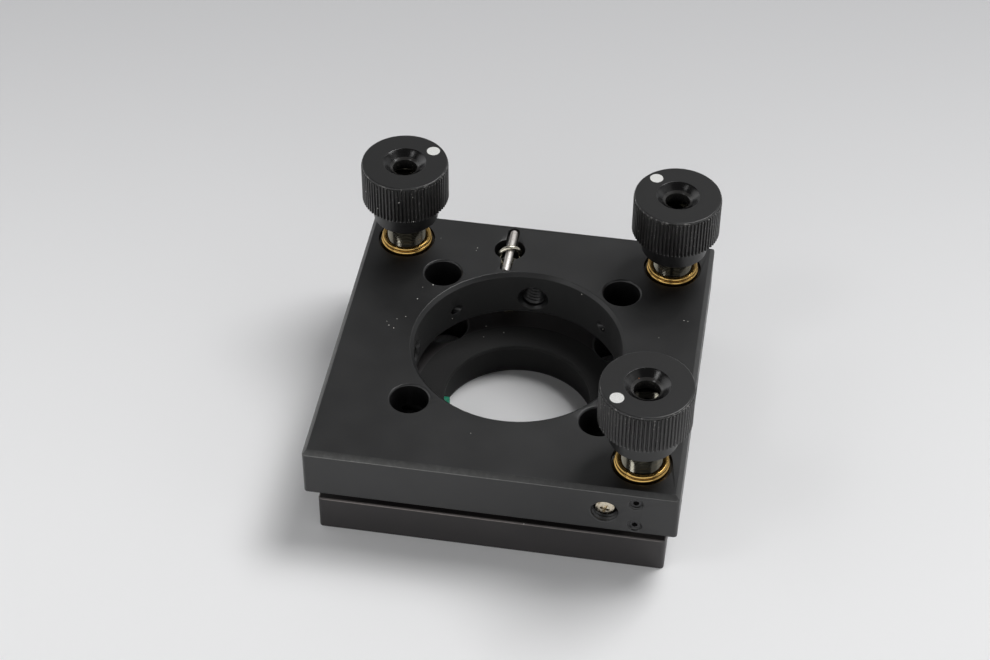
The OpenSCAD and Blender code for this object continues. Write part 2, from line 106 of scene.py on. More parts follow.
class Finish:
    def __init__(self, name, owner=None):
        self.material = owner or bpy.data.materials.new(name)
        self.material.use_nodes = True
        self.tree = self.material.node_tree
        self.tree.nodes.clear()

    def add(self, kind, settings=None, inputs=None, output=0):
        node = self.tree.nodes.new(kind)
        for name, setting in (settings or {}).items():
            setattr(node, name, setting)
        for name, value in (inputs or {}).items():
            if isinstance(value, Value):
                self.tree.links.new(value.socket, node.inputs[name])
            else:
                node.inputs[name].default_value = value
        return Value(self, node.outputs[output]) if node.outputs else None

    def maths(self, operation, *values):
        return self.add("ShaderNodeMath", {"operation": operation}, dict(enumerate(values)))

    def place(self):
        return self.add("ShaderNodeTexCoord", output="Object")

    def split(self, vector):
        return [self.add("ShaderNodeSeparateXYZ", {}, {0: vector}, axis) for axis in "XYZ"]

    def join(self, x, y, z):
        return self.add("ShaderNodeCombineXYZ", {}, {"X": x, "Y": y, "Z": z})

    def noise(self, scale, detail=2, vector=None, rough=0.5):  # scale is per metre
        return self.add("ShaderNodeTexNoise", {}, {"Vector": vector or self.place(), "Scale": scale,
                                                   "Detail": detail, "Roughness": rough})

    def mix(self, share, a, b):
        colour = lambda c: c if isinstance(c, Value) else (*c, 1)
        return self.add("ShaderNodeMix", {"data_type": "RGBA"}, {0: share, 6: colour(a), 7: colour(b)}, 2)

    def bump(self, height, strength, distance):
        return self.add("ShaderNodeBump", {}, {"Height": height, "Strength": strength, "Distance": distance})

    def shade(self, **sockets):
        names = {"colour": "Base Color", "metal": "Metallic", "rough": "Roughness", "normal": "Normal",
                 "specular": "Specular IOR Level"}
        inputs = {}
        for name, value in sockets.items():
            if name == "colour" and not isinstance(value, Value):
                value = (*value, 1)
            inputs[names[name]] = value
        shader = self.add("ShaderNodeBsdfPrincipled", {}, inputs)
        self.add("ShaderNodeOutputMaterial", {}, {"Surface": shader})
        return self.material


def fromAxis(x, y):  # distance from the nearest adjuster's axis, the same for all three
    across, along = abs(x) - abs(axes["b"].x), abs(y) - abs(axes["b"].y)
    return (across * across + along * along) ** 0.5


# finishes
plateLook = {"colour": (0.0035, 0.0035, 0.0038), "worn": (0.0085, 0.0085, 0.0088),
             "edge": (0.15, 0.15, 0.145), "inside": (0.001, 0.001, 0.001), "bore": 16.87 * mm,
             "chamfer": 0.7 * mm, "rough": 0.36, "grain": 9000, "specular": 0.62}
frontLook = {"colour": (0.0078, 0.006, 0.0063), "worn": (0.0165, 0.0135, 0.0138),
             "edge": (0.2, 0.172, 0.16), "inside": (0.001, 0.001, 0.001), "bore": 16.87 * mm,
             "chamfer": 0.2 * mm, "rough": 0.46, "grain": 8000, "specular": 0.66}


def anodizedFinish(name, look, low, high, edgeWearAndHighlightShare):
    f = Finish(name)
    x, y, z = f.split(f.place())
    grain = f.noise(look["grain"], 3, rough=0.6)
    cloud = f.noise(170, 3)
    blotch = f.noise(1100, 4)
    reach = f.maths("MAXIMUM", abs(x), abs(y))
    # The outer chamfer band, its lower part and the thin line along its lower edge take the pale edge colour,
    # less towards the right: partly edge wear and specks, partly a painted highlight on the chamfer and its
    # edge line.
    slope = high.x + high.z - look["chamfer"]
    bevelled = (reach + z).between(slope - 0.12 * mm, slope - 0.03 * mm)
    edgeHighlightLine = ((1 - abs(z - (high.z - look["chamfer"])).between(0.02 * mm, 0.08 * mm))
             * reach.between(high.x - 0.05 * mm, high.x - 0.01 * mm))
    lower = (high.z - z).between(0, look["chamfer"] + 0.05 * mm) * bevelled
    specks = f.noise(4200, 2).between(0.64, 0.74) * bevelled
    edgeWearAndHighlight = (bevelled * (0.16 + blotch.between(0.45, 0.7) * 0.12) + lower * (0.2 + blotch * 0.35) + specks * 0.3
           + edgeHighlightLine * (0.5 + blotch * 0.5)) * (1 - x.between(-0.02, 0.03) * 0.55)
    # Within the bore's radius, above the lowest half millimetre, the colour is darkened almost to black and
    # made rougher: painted shade in the bore.
    outward = ((x * x + y * y) ** 0.5).between(look["bore"], look["bore"] + 0.05 * mm)
    inside = (1 - outward) * z.between(0.3 * mm, 0.5 * mm)
    base = f.mix(cloud.between(0.35, 0.75) * 0.45 + grain * 0.3, look["colour"], look["worn"])
    base = f.mix(inside * 0.9, base, look["inside"])
    return f.shade(colour=f.mix(edgeWearAndHighlight * edgeWearAndHighlightShare, base, look["edge"]), specular=look["specular"],
                   rough=(look["rough"] + grain * 0.05 + (cloud - 0.5) * 0.1 - edgeHighlightLine * 0.1 - lower * 0.06
                          + inside * 0.36),
                   normal=f.bump(grain, 0.25, 0.004 * mm))


backFinish = anodizedFinish("satinBlackAnodized", plateLook, backLow, backHigh, 0.7)
frontFinish = anodizedFinish("brownishBlackAnodized", frontLook, frontLow, frontHigh, 0.8)

knobLook = {"colour": (0.0042, 0.0041, 0.0043), "ridge": (0.012, 0.0112, 0.0106), "worn": (0.2, 0.195, 0.185),
            "ring": (0.028, 0.027, 0.026), "ringFrom": 1.96 * mm, "ringTo": 2.38 * mm, "dish": 3.5 * mm,
            "rim": 6.95 * mm, "rough": 0.36, "dishRough": 0.2, "specular": 0.54}


def knobFinish(letter):
    f = Finish("blackAnodizedKnob" + letter.upper())
    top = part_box("knob_" + letter)[1].z
    x, y, z = f.split(f.place())
    reach = fromAxis(x, y)
    dish = 1 - reach.between(knobLook["dish"], knobLook["dish"] + 0.06 * mm)
    fine = f.noise(9000, 2, f.join(reach, 0.0, z))
    coarse = f.noise(14000, 1, f.join(reach, 0.0, z))
    # The outer flute crests are painted lighter than the grooves between them: a painted highlight on the
    # crests.
    ridge = reach.between(knobLook["rim"] + 0.07 * mm, knobLook["rim"] + 0.25 * mm)
    grain = f.noise(6000, 2)
    # A lighter ring round the key hole, where its rounded edge lies: a painted highlight.
    keyHoleHighlight = (reach.between(knobLook["ringFrom"], knobLook["ringFrom"] + 0.06 * mm)
               * (1 - reach.between(knobLook["ringTo"], knobLook["ringTo"] + 0.08 * mm)))
    chips = (f.noise(3400, 2).between(0.64, 0.72)
             * reach.between(knobLook["rim"] + 0.03 * mm, knobLook["rim"] + 0.15 * mm))
    rimChips = (f.noise(1500, 3).between(0.54, 0.64)
                * reach.between(knobLook["rim"], knobLook["rim"] + 0.15 * mm)
                * z.between(top - 0.8 * mm, top - 0.3 * mm))
    base = f.mix(ridge * 0.8 + grain * 0.2, knobLook["colour"], knobLook["ridge"])
    base = f.mix(keyHoleHighlight, base, knobLook["ring"])
    return f.shade(colour=f.mix(f.maths("MAXIMUM", chips, rimChips) * 0.7, base, knobLook["worn"]),
                   specular=knobLook["specular"],
                   rough=(knobLook["rough"] + (fine - 0.5) * 0.12
                          - dish * (knobLook["rough"] - knobLook["dishRough"])),
                   normal=f.bump(fine * 0.5 + grain * 0.5 + coarse * dish * 3, 0.6, 0.003 * mm))


brassLook = {"colour": (0.47, 0.3, 0.095), "dull": (0.31, 0.185, 0.055), "rough": 0.22}


def brassFinish():
    f = Finish("turnedBrass")
    x, y, z = f.split(f.place())
    reach = fromAxis(x, y)
    turned = f.noise(5000, 1, f.join(reach, 0.0, z))
    tarnish = f.noise(700, 3)
    return f.shade(colour=f.mix(tarnish.between(0.45, 0.8) * 0.6, brassLook["colour"], brassLook["dull"]),
                   metal=1.0, rough=brassLook["rough"] + (turned - 0.5) * 0.1 + (tarnish - 0.5) * 0.1,
                   normal=f.bump(turned, 0.04, 0.003 * mm))


steelLook = {"colour": (0.21, 0.2, 0.165), "groove": (0.09, 0.085, 0.07), "root": 3.01 * mm,
             "crest": 3.15 * mm, "rough": 0.15}


def steelFinish():
    f = Finish("threadedSteel")
    x, y, z = f.split(f.place())
    reach = fromAxis(x, y)
    # The thread roots take the darker groove colour and the crests the lighter one: painted shade in the
    # grooves.
    crest = reach.between(steelLook["root"], steelLook["crest"])
    oil = f.noise(1500, 3)
    return f.shade(colour=f.mix(crest * 0.8 + oil * 0.2, steelLook["groove"], steelLook["colour"]), metal=1.0,
                   rough=steelLook["rough"] + (oil - 0.5) * 0.03)


polishedLook = {"colour": (0.62, 0.61, 0.57), "dull": (0.62, 0.61, 0.57), "rough": 0.17}
wireLook = {"colour": (0.6, 0.57, 0.48), "dull": (0.34, 0.32, 0.26), "rough": 0.25}
pinLook = {"colour": (0.76, 0.73, 0.7), "dull": (0.52, 0.49, 0.46), "rough": 0.52}
headLook = {"colour": (0.62, 0.56, 0.45), "dull": (0.3, 0.24, 0.15), "rough": 0.2}
threadLook = {**plateLook, "colour": (0.006, 0.006, 0.0062), "rough": 0.3, "specular": 0.5}


def brightFinish(name, look, scale=2500):
    f = Finish(name)
    stain = f.noise(scale, 4, rough=0.6)
    fine = f.noise(scale * 6, 2)
    return f.shade(colour=f.mix(stain.between(0.5, 0.75), look["colour"], look["dull"]), metal=1.0,
                   rough=look["rough"] + (stain - 0.5) * 0.2, normal=f.bump(fine, 0.2, 0.004 * mm))


oxideLook = {"colour": (0.04, 0.04, 0.042), "worn": (0.085, 0.083, 0.08), "metal": 0.6, "rough": 0.34}


def blackOxideFinish():
    f = Finish("blackOxide")
    grain = f.noise(5000, 3)
    return f.shade(colour=f.mix(grain.between(0.5, 0.8), oxideLook["colour"], oxideLook["worn"]),
                   metal=oxideLook["metal"], rough=oxideLook["rough"] + (grain - 0.5) * 0.2,
                   normal=f.bump(grain, 0.3, 0.006 * mm))


def plainFinish(name, colour, shadeColour, rough, scale=3000):
    f = Finish(name)
    grain = f.noise(scale, 3)
    return f.shade(colour=f.mix(grain.between(0.35, 0.75), colour, shadeColour),
                   rough=rough + (grain - 0.5) * 0.1, normal=f.bump(grain, 0.2, 0.006 * mm))


brassMaterial, steelMaterial = brassFinish(), steelFinish()
polishedMaterial = brightFinish("polishedSteel", polishedLook)
wireMaterial = brightFinish("springWire", wireLook)
pinMaterial = brightFinish("rolledPin", pinLook, 1800)
oxideMaterial = blackOxideFinish()
headMaterial = brightFinish("screwHead", headLook, 2200)
threadMaterial = anodizedFinish("tappedThread", threadLook, backLow, backHigh, 0.0)
nylonMaterial = plainFinish("greenNylon", (0.012, 0.2, 0.115), (0.02, 0.3, 0.18), 0.45)
printMaterial = plainFinish("whitePrint", (0.72, 0.72, 0.7), (0.6, 0.6, 0.58), 0.6, 6000)
dustMaterial = plainFinish("paleDust", (0.72, 0.71, 0.67), (0.5, 0.48, 0.44), 0.9)
rustMaterial = plainFinish("rustyCrumb", (0.42, 0.15, 0.05), (0.25, 0.08, 0.03), 0.8)
print("finishes made")


def finishPiece(name, bm, material, body, smoothAngle=30):
    bmesh.ops.remove_doubles(bm, verts=bm.verts, dist=weld)
    bmesh.ops.recalc_face_normals(bm, faces=bm.faces)
    mesh = bpy.data.meshes.new(name)
    bm.to_mesh(mesh)
    bm.free()
    mesh.materials.append(material)
    mesh.shade_smooth()
    mesh.set_sharp_from_angle(angle=radians(smoothAngle))
    piece = bpy.data.objects.new(name, mesh)
    scene.collection.objects.link(piece)
    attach(piece, body)
    return piece


brokenEdge = {"plate": 0.06 * mm, "knob": 0.02 * mm, "segments": 2, "profile": 0.5, "sharperThan": 28}


def softenedCopy(node, name, material, body, width):  # the same shape with its edges broken
    bm = bmesh.new()
    bm.from_mesh(nodes[node].data)
    bmesh.ops.remove_doubles(bm, verts=bm.verts, dist=weld)
    mesh = bpy.data.meshes.new(name)
    bm.to_mesh(mesh)
    bm.free()
    mesh.materials.append(material)
    mesh.shade_smooth()
    piece = bpy.data.objects.new(name, mesh)
    scene.collection.objects.link(piece)
    edge = piece.modifiers.new("brokenEdges", "BEVEL")
    edge.width, edge.segments, edge.profile = width, brokenEdge["segments"], brokenEdge["profile"]
    edge.limit_method, edge.angle_limit = "ANGLE", radians(brokenEdge["sharperThan"])
    edge.use_clamp_overlap = False
    edge.face_strength_mode = "FSTR_ALL"
    shading = piece.modifiers.new("evenShading", "WEIGHTED_NORMAL")
    shading.mode, shading.weight, shading.use_face_influence = "FACE_AREA", 100, True
    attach(piece, body)
    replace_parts(piece, node)
    return piece


softenedCopy("back_plate", "backPlate", backFinish, "back", brokenEdge["plate"])
softenedCopy("front_plate", "frontPlate", frontFinish, "front", brokenEdge["plate"])
for letter in letters:
    knob = "knob_" + letter
    softenedCopy(knob, "knob" + letter.upper(), knobFinish(letter), knob, brokenEdge["knob"])
print("plates and knobs made")

# threaded adjuster screws
thread = {"pitch": 25.4 / 80 * mm, "crest": 3.175 * mm, "root": 3.02 * mm, "steps": 36, "socket": 1.98 * mm,
          "socketDepth": 3.0 * mm, "chamfer": 0.3 * mm, "nose": 2.5 * mm, "noseHeight": 1.2 * mm,
          "phases": {"a": 0.4, "b": 2.1, "c": 4.4}}


def profileLine(bm, points):
    corners = [bm.verts.new(p) for p in points]
    return corners + [bm.edges.new(pair) for pair in zip(corners, corners[1:])]


def screwThread(bm, low, high, crest, root, pitch, steps, phase):
    turns = int((high - low) / pitch) + 3
    form = ((root, 0), (root, 0.12), (crest, 0.5), (crest, 0.62))  # radius and share of the pitch
    points = []
    for k in range(turns):
        z = low + (k - 2) * pitch
        points += [(r, 0, z + share * pitch) for r, share in form]
    bmesh.ops.spin(bm, geom=profileLine(bm, points), cent=(0, 0, 0), axis=(0, 0, 1),
                   dvec=(0, 0, pitch / steps), angle=2 * pi, steps=steps, use_merge=False)
    bmesh.ops.remove_doubles(bm, verts=bm.verts, dist=pitch * 0.02)
    for z, away in ((low, -1), (high, 1)):
        bmesh.ops.bisect_plane(bm, geom=bm.verts[:] + bm.edges[:] + bm.faces[:], plane_co=(0, 0, z),
                               plane_no=(0, 0, away), clear_outer=True)
    bmesh.ops.rotate(bm, verts=bm.verts, matrix=Matrix.Rotation(phase, 3, "Z"))


def spinCapped(bm, ring, count, angle, steps, rise=0):  # sweeps an outline of count corners, with ends
    ring.append(bm.edges.new((ring[count - 1], ring[0])))
    swept = bmesh.ops.spin(bm, geom=ring, cent=(0, 0, 0), axis=(0, 0, 1), dvec=(0, 0, rise), angle=angle,
                           steps=steps, use_merge=False)
    for end in (ring[:count], swept["geom_last"]):
        bmesh.ops.contextual_create(bm, geom=[v for v in end if isinstance(v, bmesh.types.BMVert)])


def rimAt(bm, z):
    return [e for e in bm.edges if e.is_boundary and all(abs(v.co.z - z) < 2 * weld for v in e.verts)]


def adjusterScrew(letter):
    low, high = (corner.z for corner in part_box("adjuster_screw_" + letter))
    bm = bmesh.new()
    screwThread(bm, low, high, thread["crest"], thread["root"], thread["pitch"], thread["steps"],
                thread["phases"][letter])
    for v in bm.verts:  # the cone of the nose and the chamfer at the top
        reach = v.co.xy.length
        nose = thread["nose"] + (v.co.z - low) * (thread["crest"] - thread["nose"]) / thread["noseHeight"]
        limit = min(nose, thread["crest"] - thread["chamfer"] + high - v.co.z, reach)
        v.co.xy *= limit / reach
    socket = bmesh.ops.create_circle(bm, segments=6, radius=thread["socket"] / sqrt(3),
                                     matrix=Matrix.Translation((0, 0, high)))
    hexagon = list({e for v in socket["verts"] for e in v.link_edges})
    bmesh.ops.bridge_loops(bm, edges=rimAt(bm, high))
    wall = bmesh.ops.extrude_edge_only(bm, edges=hexagon)
    lower = [g for g in wall["geom"] if isinstance(g, bmesh.types.BMVert)]
    bmesh.ops.translate(bm, verts=lower, vec=(0, 0, -thread["socketDepth"]))
    bmesh.ops.contextual_create(bm, geom=lower)
    bmesh.ops.contextual_create(bm, geom=rimAt(bm, low))
    bmesh.ops.translate(bm, verts=bm.verts, vec=(*axes[letter], 0))
    piece = finishPiece("threadedScrew" + letter.upper(), bm, steelMaterial, "knob_" + letter, 40)
    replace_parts(piece, "adjuster_screw_" + letter)


for letter in letters:
    adjusterScrew(letter)
print("adjuster screws made")

# brass bushings with two rounded rings, in mm; a ring is its centre, its radius and the arc that shows
bushing = {"bore": 3.215, "body": 3.75, "under": (4.35, -0.9),
           "rings": ((3.92, 0.08, 0.43, 0, 70), (3.8, 0.72, 0.38, -20, 100)),
           "mouth": 0.75, "steps": 96}


def brassBushing(letter):
    foot = (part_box("bushing_" + letter)[0].z - topZ) / mm
    points = [(bushing["bore"], foot), (bushing["body"], foot), (bushing["body"], bushing["under"][1]),
              bushing["under"]]
    for r, z, size, start, end in bushing["rings"]:
        arc = [radians(a) for a in range(start, end + 1, 10)]
        points += [(r + size * cos(a), z + size * sin(a)) for a in arc]
    points += [(bushing["bore"], bushing["mouth"]), (bushing["bore"], foot)]
    bm = bmesh.new()
    section = profileLine(bm, [(r * mm, 0, topZ + z * mm) for r, z in points])
    bmesh.ops.spin(bm, geom=section, cent=(0, 0, 0), axis=(0, 0, 1), dvec=(0, 0, 0), angle=2 * pi,
                   steps=bushing["steps"], use_merge=True)
    bmesh.ops.translate(bm, verts=bm.verts, vec=(*axes[letter], 0))
    piece = finishPiece("brassBushing" + letter.upper(), bm, brassMaterial, "back", 40)
    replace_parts(piece, "bushing_" + letter)


for letter in letters:
    brassBushing(letter)
print("bushings made")

# springs: a ring hook at each end, a quarter turn that lays it over, and close coils
spring = {"coil": 1.825 * mm, "wire": 0.75 * mm, "turns": 11, "hookTurn": 19, "bend": 1.7 * mm,
          "hookEnd": 300, "perTurn": 60, "upperHook": 17.0 * mm, "lowerHook": 2.52 * mm}
coilSteps = spring["turns"] * spring["perTurn"] - spring["perTurn"] // 2


def springPath(upperZ, lowerZ):
    r = spring["coil"]
    around = lambda a, z: Vector((r * cos(radians(a)), r * sin(radians(a)), z))
    arc = [radians(a) for a in range(0, spring["hookEnd"] + 1, 5)]
    hook = [Vector((r * cos(a), 0, upperZ + r * sin(a))) for a in arc]
    quarter = [radians(a) for a in range(0, 90, 5)]
    bend = [around(90 * sin(a) - 90, upperZ - spring["bend"] * cos(a)) for a in quarter]
    upper = bend + hook
    lower = [Vector((p.x, -p.y, lowerZ + upperZ - p.z)) for p in reversed(upper)]
    low, high = lowerZ + spring["bend"], upperZ - spring["bend"]
    coils = [around(90 + 360 * k / spring["perTurn"], low + (high - low) * k / coilSteps)
             for k in range(1, coilSteps)]
    return lower + coils + upper


def wirePiece(name, points):
    line = bpy.data.curves.new(name, "CURVE")
    line.dimensions = "3D"
    line.bevel_depth, line.bevel_resolution, line.use_fill_caps = spring["wire"] / 2, 5, True
    spline = line.splines.new("POLY")
    spline.points.add(len(points) - 1)
    for knot, p in zip(spline.points, points):
        knot.co = (*p, 1)
    curve = bpy.data.objects.new(name, line)
    scene.collection.objects.link(curve)
    bpy.context.view_layer.update()
    mesh = bpy.data.meshes.new_from_object(curve)
    bpy.data.objects.remove(curve)
    mesh.materials.clear()
    mesh.materials.append(wireMaterial)
    mesh.shade_smooth()
    mesh.set_sharp_from_angle(angle=radians(40))
    piece = bpy.data.objects.new(name, mesh)
    scene.collection.objects.link(piece)
    return piece


def makeSpring(number):
    place = middleOf("back_pin_%d" % number)
    lay = Matrix.Rotation(radians(spring["hookTurn"]), 4, "Z")
    if number == 2:  # the mirror image about the plate's diagonal
        lay = acrossDiagonal @ lay
    lay = Matrix.Translation((place.x, place.y, 0)) @ lay
    path = [lay @ p for p in springPath(spring["upperHook"], spring["lowerHook"])]
    coils = coilSteps - 1
    hook = (len(path) - coils) // 2
    cuts = [0, hook + coils // 3, hook + 2 * coils // 3, len(path) - 1]
    for k, part in enumerate(("Lower", "Middle", "Upper")):
        piece = wirePiece("spring%d%s" % (number, part), path[cuts[k]:cuts[k + 1] + 1])
        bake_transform(piece)
    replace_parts(piece, "spring_%d" % number)


for number in (1, 2):
    makeSpring(number)
print("springs made")

# rolled anchor pins: a slit tube with tapered ends
pin = {"radius": 0.675 * mm, "wall": 0.25 * mm, "taper": 0.3 * mm, "thin": 0.09 * mm, "slit": 14,
       "slitAt": 116, "steps": 44}


def rolledPin(name, number, body):
    node = name + "_pin_%d" % number
    low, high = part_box(node)
    middle, end = (low + high) / 2, max(high.x - low.x, high.y - low.y) / 2
    r, inner, thin = pin["radius"], pin["radius"] - pin["wall"], pin["thin"]
    bm = bmesh.new()
    ring = profileLine(bm, [(inner, 0, -end), (r - thin, 0, -end), (r, 0, pin["taper"] - end),
                            (r, 0, end - pin["taper"]), (r - thin, 0, end), (inner, 0, end)])
    spinCapped(bm, ring, 6, radians(360 - pin["slit"]), pin["steps"])
    slitTurn = radians(pin["slitAt"] + pin["slit"] / 2)
    lay = Matrix.Rotation(radians(90), 4, "X") @ Matrix.Rotation(slitTurn, 4, "Z")
    if high.x - low.x > high.y - low.y:  # the second pair lies along X, mirrored about the diagonal
        lay = acrossDiagonal @ lay
    if name == "front":
        lay = Matrix.Rotation(pi, 4, "Z") @ Matrix.Rotation(pi, 4, "Y") @ lay
    bmesh.ops.transform(bm, verts=bm.verts, matrix=Matrix.Translation(middle) @ lay)
    piece = finishPiece(name + "RolledPin%d" % number, bm, pinMaterial, body, 25)
    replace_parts(piece, node)


for number in (1, 2):
    rolledPin("back", number, "back")
    rolledPin("front", number, "front")
print("rolled pins made")


def onFace(side, across, z):  # a frame on a side face of the back plate, its Z axis pointing into the plate
    return (Matrix.Rotation(radians(90 * side), 4, "Z") @ Matrix.Translation((backHigh.x, across, z))
            @ Matrix.Rotation(radians(-90), 4, "Y"))


# domed lock screws with a cross recess; a place is the side, the way along it, the recess's turn, the length
lock = {"head": 1.55 * mm, "height": 1.1 * mm, "dome": 0.42 * mm, "rim": 0.12 * mm, "sink": 0.62 * mm,
        "recess": 1.08 * mm, "blade": 0.26 * mm, "deep": 0.8 * mm, "narrow": (0.45, 0.7),
        "z": middleOf("rod_lock_screws").z, "shank": 0.79 * mm, "tip": 0.2 * mm,
        "places": [(0, 11.7 * mm, 20, 11.4 * mm), (2, 11.7 * mm, 64, 11.4 * mm),
                   (2, -11.7 * mm, 33, 11.4 * mm), (3, 17.85 * mm, 14, 10.9 * mm)]}


def lockScrew(side, across, turn, reach):
    bm = bmesh.new()
    head, rim, shank, tip = lock["head"], lock["rim"], lock["shank"], lock["tip"]
    flat = head - rim
    place = onFace(side, across, lock["z"]) @ Matrix.Translation((0, 0, lock["sink"]))
    section = [(flat * share / 8, 0, (lock["dome"] - rim) * (share / 8) ** 2) for share in range(9)]
    rounded = [radians(a) for a in range(22, 91, 17)]
    section += [(flat + rim * sin(a), 0, lock["dome"] - rim * cos(a)) for a in rounded]
    section += [(head, 0, lock["height"]), (shank, 0, lock["height"]), (shank, 0, reach - tip),
                (shank - tip, 0, reach), (0, 0, reach)]
    bmesh.ops.spin(bm, geom=profileLine(bm, section), cent=(0, 0, 0), axis=(0, 0, 1), angle=2 * pi, steps=40,
                   use_merge=True)
    bmesh.ops.remove_doubles(bm, verts=bm.verts, dist=weld)
    bmesh.ops.transform(bm, verts=bm.verts, matrix=place)
    cutter = bmesh.new()
    for angle in (turn, turn + 90):
        arm = bmesh.ops.create_cube(cutter, size=1)["verts"]
        bmesh.ops.scale(cutter, verts=arm, vec=(2 * lock["recess"], 2 * lock["blade"], 2 * lock["deep"]))
        for v in arm:  # the recess narrows towards its floor
            if v.co.z > 0:
                v.co.x *= lock["narrow"][0]
                v.co.y *= lock["narrow"][1]
        bmesh.ops.transform(cutter, verts=arm, matrix=place @ Matrix.Rotation(radians(angle), 4, "Z"))
    return bm, cutter


def meshOf(bm, name):
    bmesh.ops.recalc_face_normals(bm, faces=bm.faces)
    mesh = bpy.data.meshes.new(name)
    bm.to_mesh(mesh)
    bm.free()
    made = bpy.data.objects.new(name, mesh)
    scene.collection.objects.link(made)
    return made


screws = bmesh.new()
for side, across, turn, reach in lock["places"]:
    bodyMesh, cutter = lockScrew(side, across, turn, reach)
    head, blades = meshOf(bodyMesh, "head"), meshOf(cutter, "blades")
    cut = head.modifiers.new("crossRecess", "BOOLEAN")
    cut.operation, cut.solver, cut.object, cut.use_self = "DIFFERENCE", "EXACT", blades, True
    bpy.context.view_layer.update()
    shaped = bpy.data.meshes.new_from_object(head.evaluated_get(bpy.context.evaluated_depsgraph_get()))
    screws.from_mesh(shaped)
    bpy.data.objects.remove(head)
    bpy.data.objects.remove(blades)
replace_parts(finishPiece("lockScrews", screws, headMaterial, "back", 32), "rod_lock_screws")
print("lock screws made")

# threads in the plate's small holes: post holes, set screws and lock screws
tapped = {"post": {"wall": 2.01 * mm, "crest": 1.66 * mm, "pitch": 0.7 * mm,
                   "from": 0.6 * mm, "to": 11.6 * mm, "z": backLow.z + 3.5 * mm},
          "grub": {"wall": 1.03 * mm, "crest": 0.87 * mm, "pitch": 0.2 * mm,
                   "from": 0.14 * mm, "to": 0.56 * mm, "inset": 1 * mm, "phase": 900},
          "lock": {"wall": 2.06 * mm, "crest": 1.8 * mm, "pitch": 0.62 * mm,
                   "from": 0.16 * mm, "to": 2.05 * mm}}
threadSteps = 28  # to a turn


def threadIn(bm, look, place, phase):
    turns = (look["to"] - look["from"]) / look["pitch"] - 1
    steps = round(threadSteps * turns)
    at = lambda r, share: (r, 0, look["from"] + share * look["pitch"])
    bead = bmesh.new()
    ring = profileLine(bead, [at(look["wall"], 0), at(look["crest"], 0.42), at(look["crest"], 0.54),
                              at(look["wall"], 0.96)])
    spinCapped(bead, ring, 4, 2 * pi * turns, steps, rise=turns * look["pitch"] / steps)
    bmesh.ops.transform(bead, verts=bead.verts, matrix=place @ Matrix.Rotation(phase, 4, "Z"))
    mesh = bpy.data.meshes.new("bead")
    bead.to_mesh(mesh)
    bead.free()
    bm.from_mesh(mesh)


ridges = bmesh.new()
for side in (0, 1, 2):
    threadIn(ridges, tapped["post"], onFace(side, 0, tapped["post"]["z"]), side)
screwLow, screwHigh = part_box("bushing_screws")
for side, across in ((3, abs(axes["c"].x)), (2, -abs(axes["a"].y)), (0, axes["b"].y)):
    for z in (screwLow.z + tapped["grub"]["inset"], screwHigh.z - tapped["grub"]["inset"]):
        threadIn(ridges, tapped["grub"], onFace(side, across, z), z * tapped["grub"]["phase"])
for side, across, turn, reach in lock["places"]:
    threadIn(ridges, tapped["lock"], onFace(side, across, lock["z"]), turn)
finishPiece("holeThreads", ridges, threadMaterial, "back", 30)
print("threads made")

# index dots printed on the knobs
dots = {"radius": 1.085 * mm, "reach": 5.45 * mm, "proud": 0.012 * mm, "clear": 0.002 * mm,
        "draft": 0.985, "angles": {"a": 40.6, "b": 136.1, "c": -139.1}}


def indexDot(letter):
    angle = radians(dots["angles"][letter])
    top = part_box("knob_" + letter)[1].z
    place = axes[letter] + Vector((cos(angle), sin(angle))) * dots["reach"]
    bm = bmesh.new()
    bmesh.ops.create_cone(bm, segments=40, radius1=dots["radius"], radius2=dots["radius"] * dots["draft"],
                          depth=dots["proud"], cap_ends=True)
    bmesh.ops.translate(bm, verts=bm.verts, vec=(*place, top + dots["proud"] / 2 + dots["clear"]))
    finishPiece("indexDot" + letter.upper(), bm, printMaterial, "knob_" + letter)


for letter in letters:
    indexDot(letter)
print("index dots made")

# dust: small pale crumbs where they have settled; a group is its place in mm, its spread and its count
dust = {"seed": 7, "size": 0.11 * mm, "sizes": (0.6, 1.15), "lumps": (0.75, 1.2), "widths": (0.6, 1),
        "flat": 0.55, "onKnob": 0.3,
        "back": [((-20.4, 2.6, 18.4), 0, 1), ((-19.1, 3.4, 18.4), 0, 1), ((-21.4, 0.9, 18.4), 0, 1),
                 ((-20.5, 0.4, 18.4), 0, 1), ((-21.9, 1.8, 18.4), 0, 1), ((12.55, 11.2, 13.3), 0, 1),
                 ((-12.75, 10.9, 12.0), 0, 1), ((-16.9, 23.5, 18.4), 0, 1), ((-4.2, -20.9, 18.4), 0, 1),
                 ((22.2, 5.3, 18.4), 0, 1), ((24.7, 8.3, 18.4), 1.8, 2), ((-10.8, 21.4, 18.4), 0.7, 2),
                 ((-16.4, 10.4, 18.4), 2.5, 3), ((8.5, 13.85, 18.1), 0, 1), ((28.8, -21.0, 17.9), 0, 1),
                 ((-15.5, -12.0, 15.2), 0.3, 1)],
        "front": [((5.3, -27.4, 6.41), 0, 1), ((-7.0, 15.5, 6.5), 2.5, 3)],
        "knob_a": [((-28.35, 18.2, 31.5), 0.1, 1), ((-22.2, 15.35, 32.3), 0.2, 3),
                   ((-20.0, 15.85, 33.3), 0, 1), ((-20.0, 15.85, 28.1), 0, 1), ((-26.0, 16.2, 29.8), 0, 1)],
        "rusty": [((21.16, -20.64, 34.36), 0.1, 2)]}


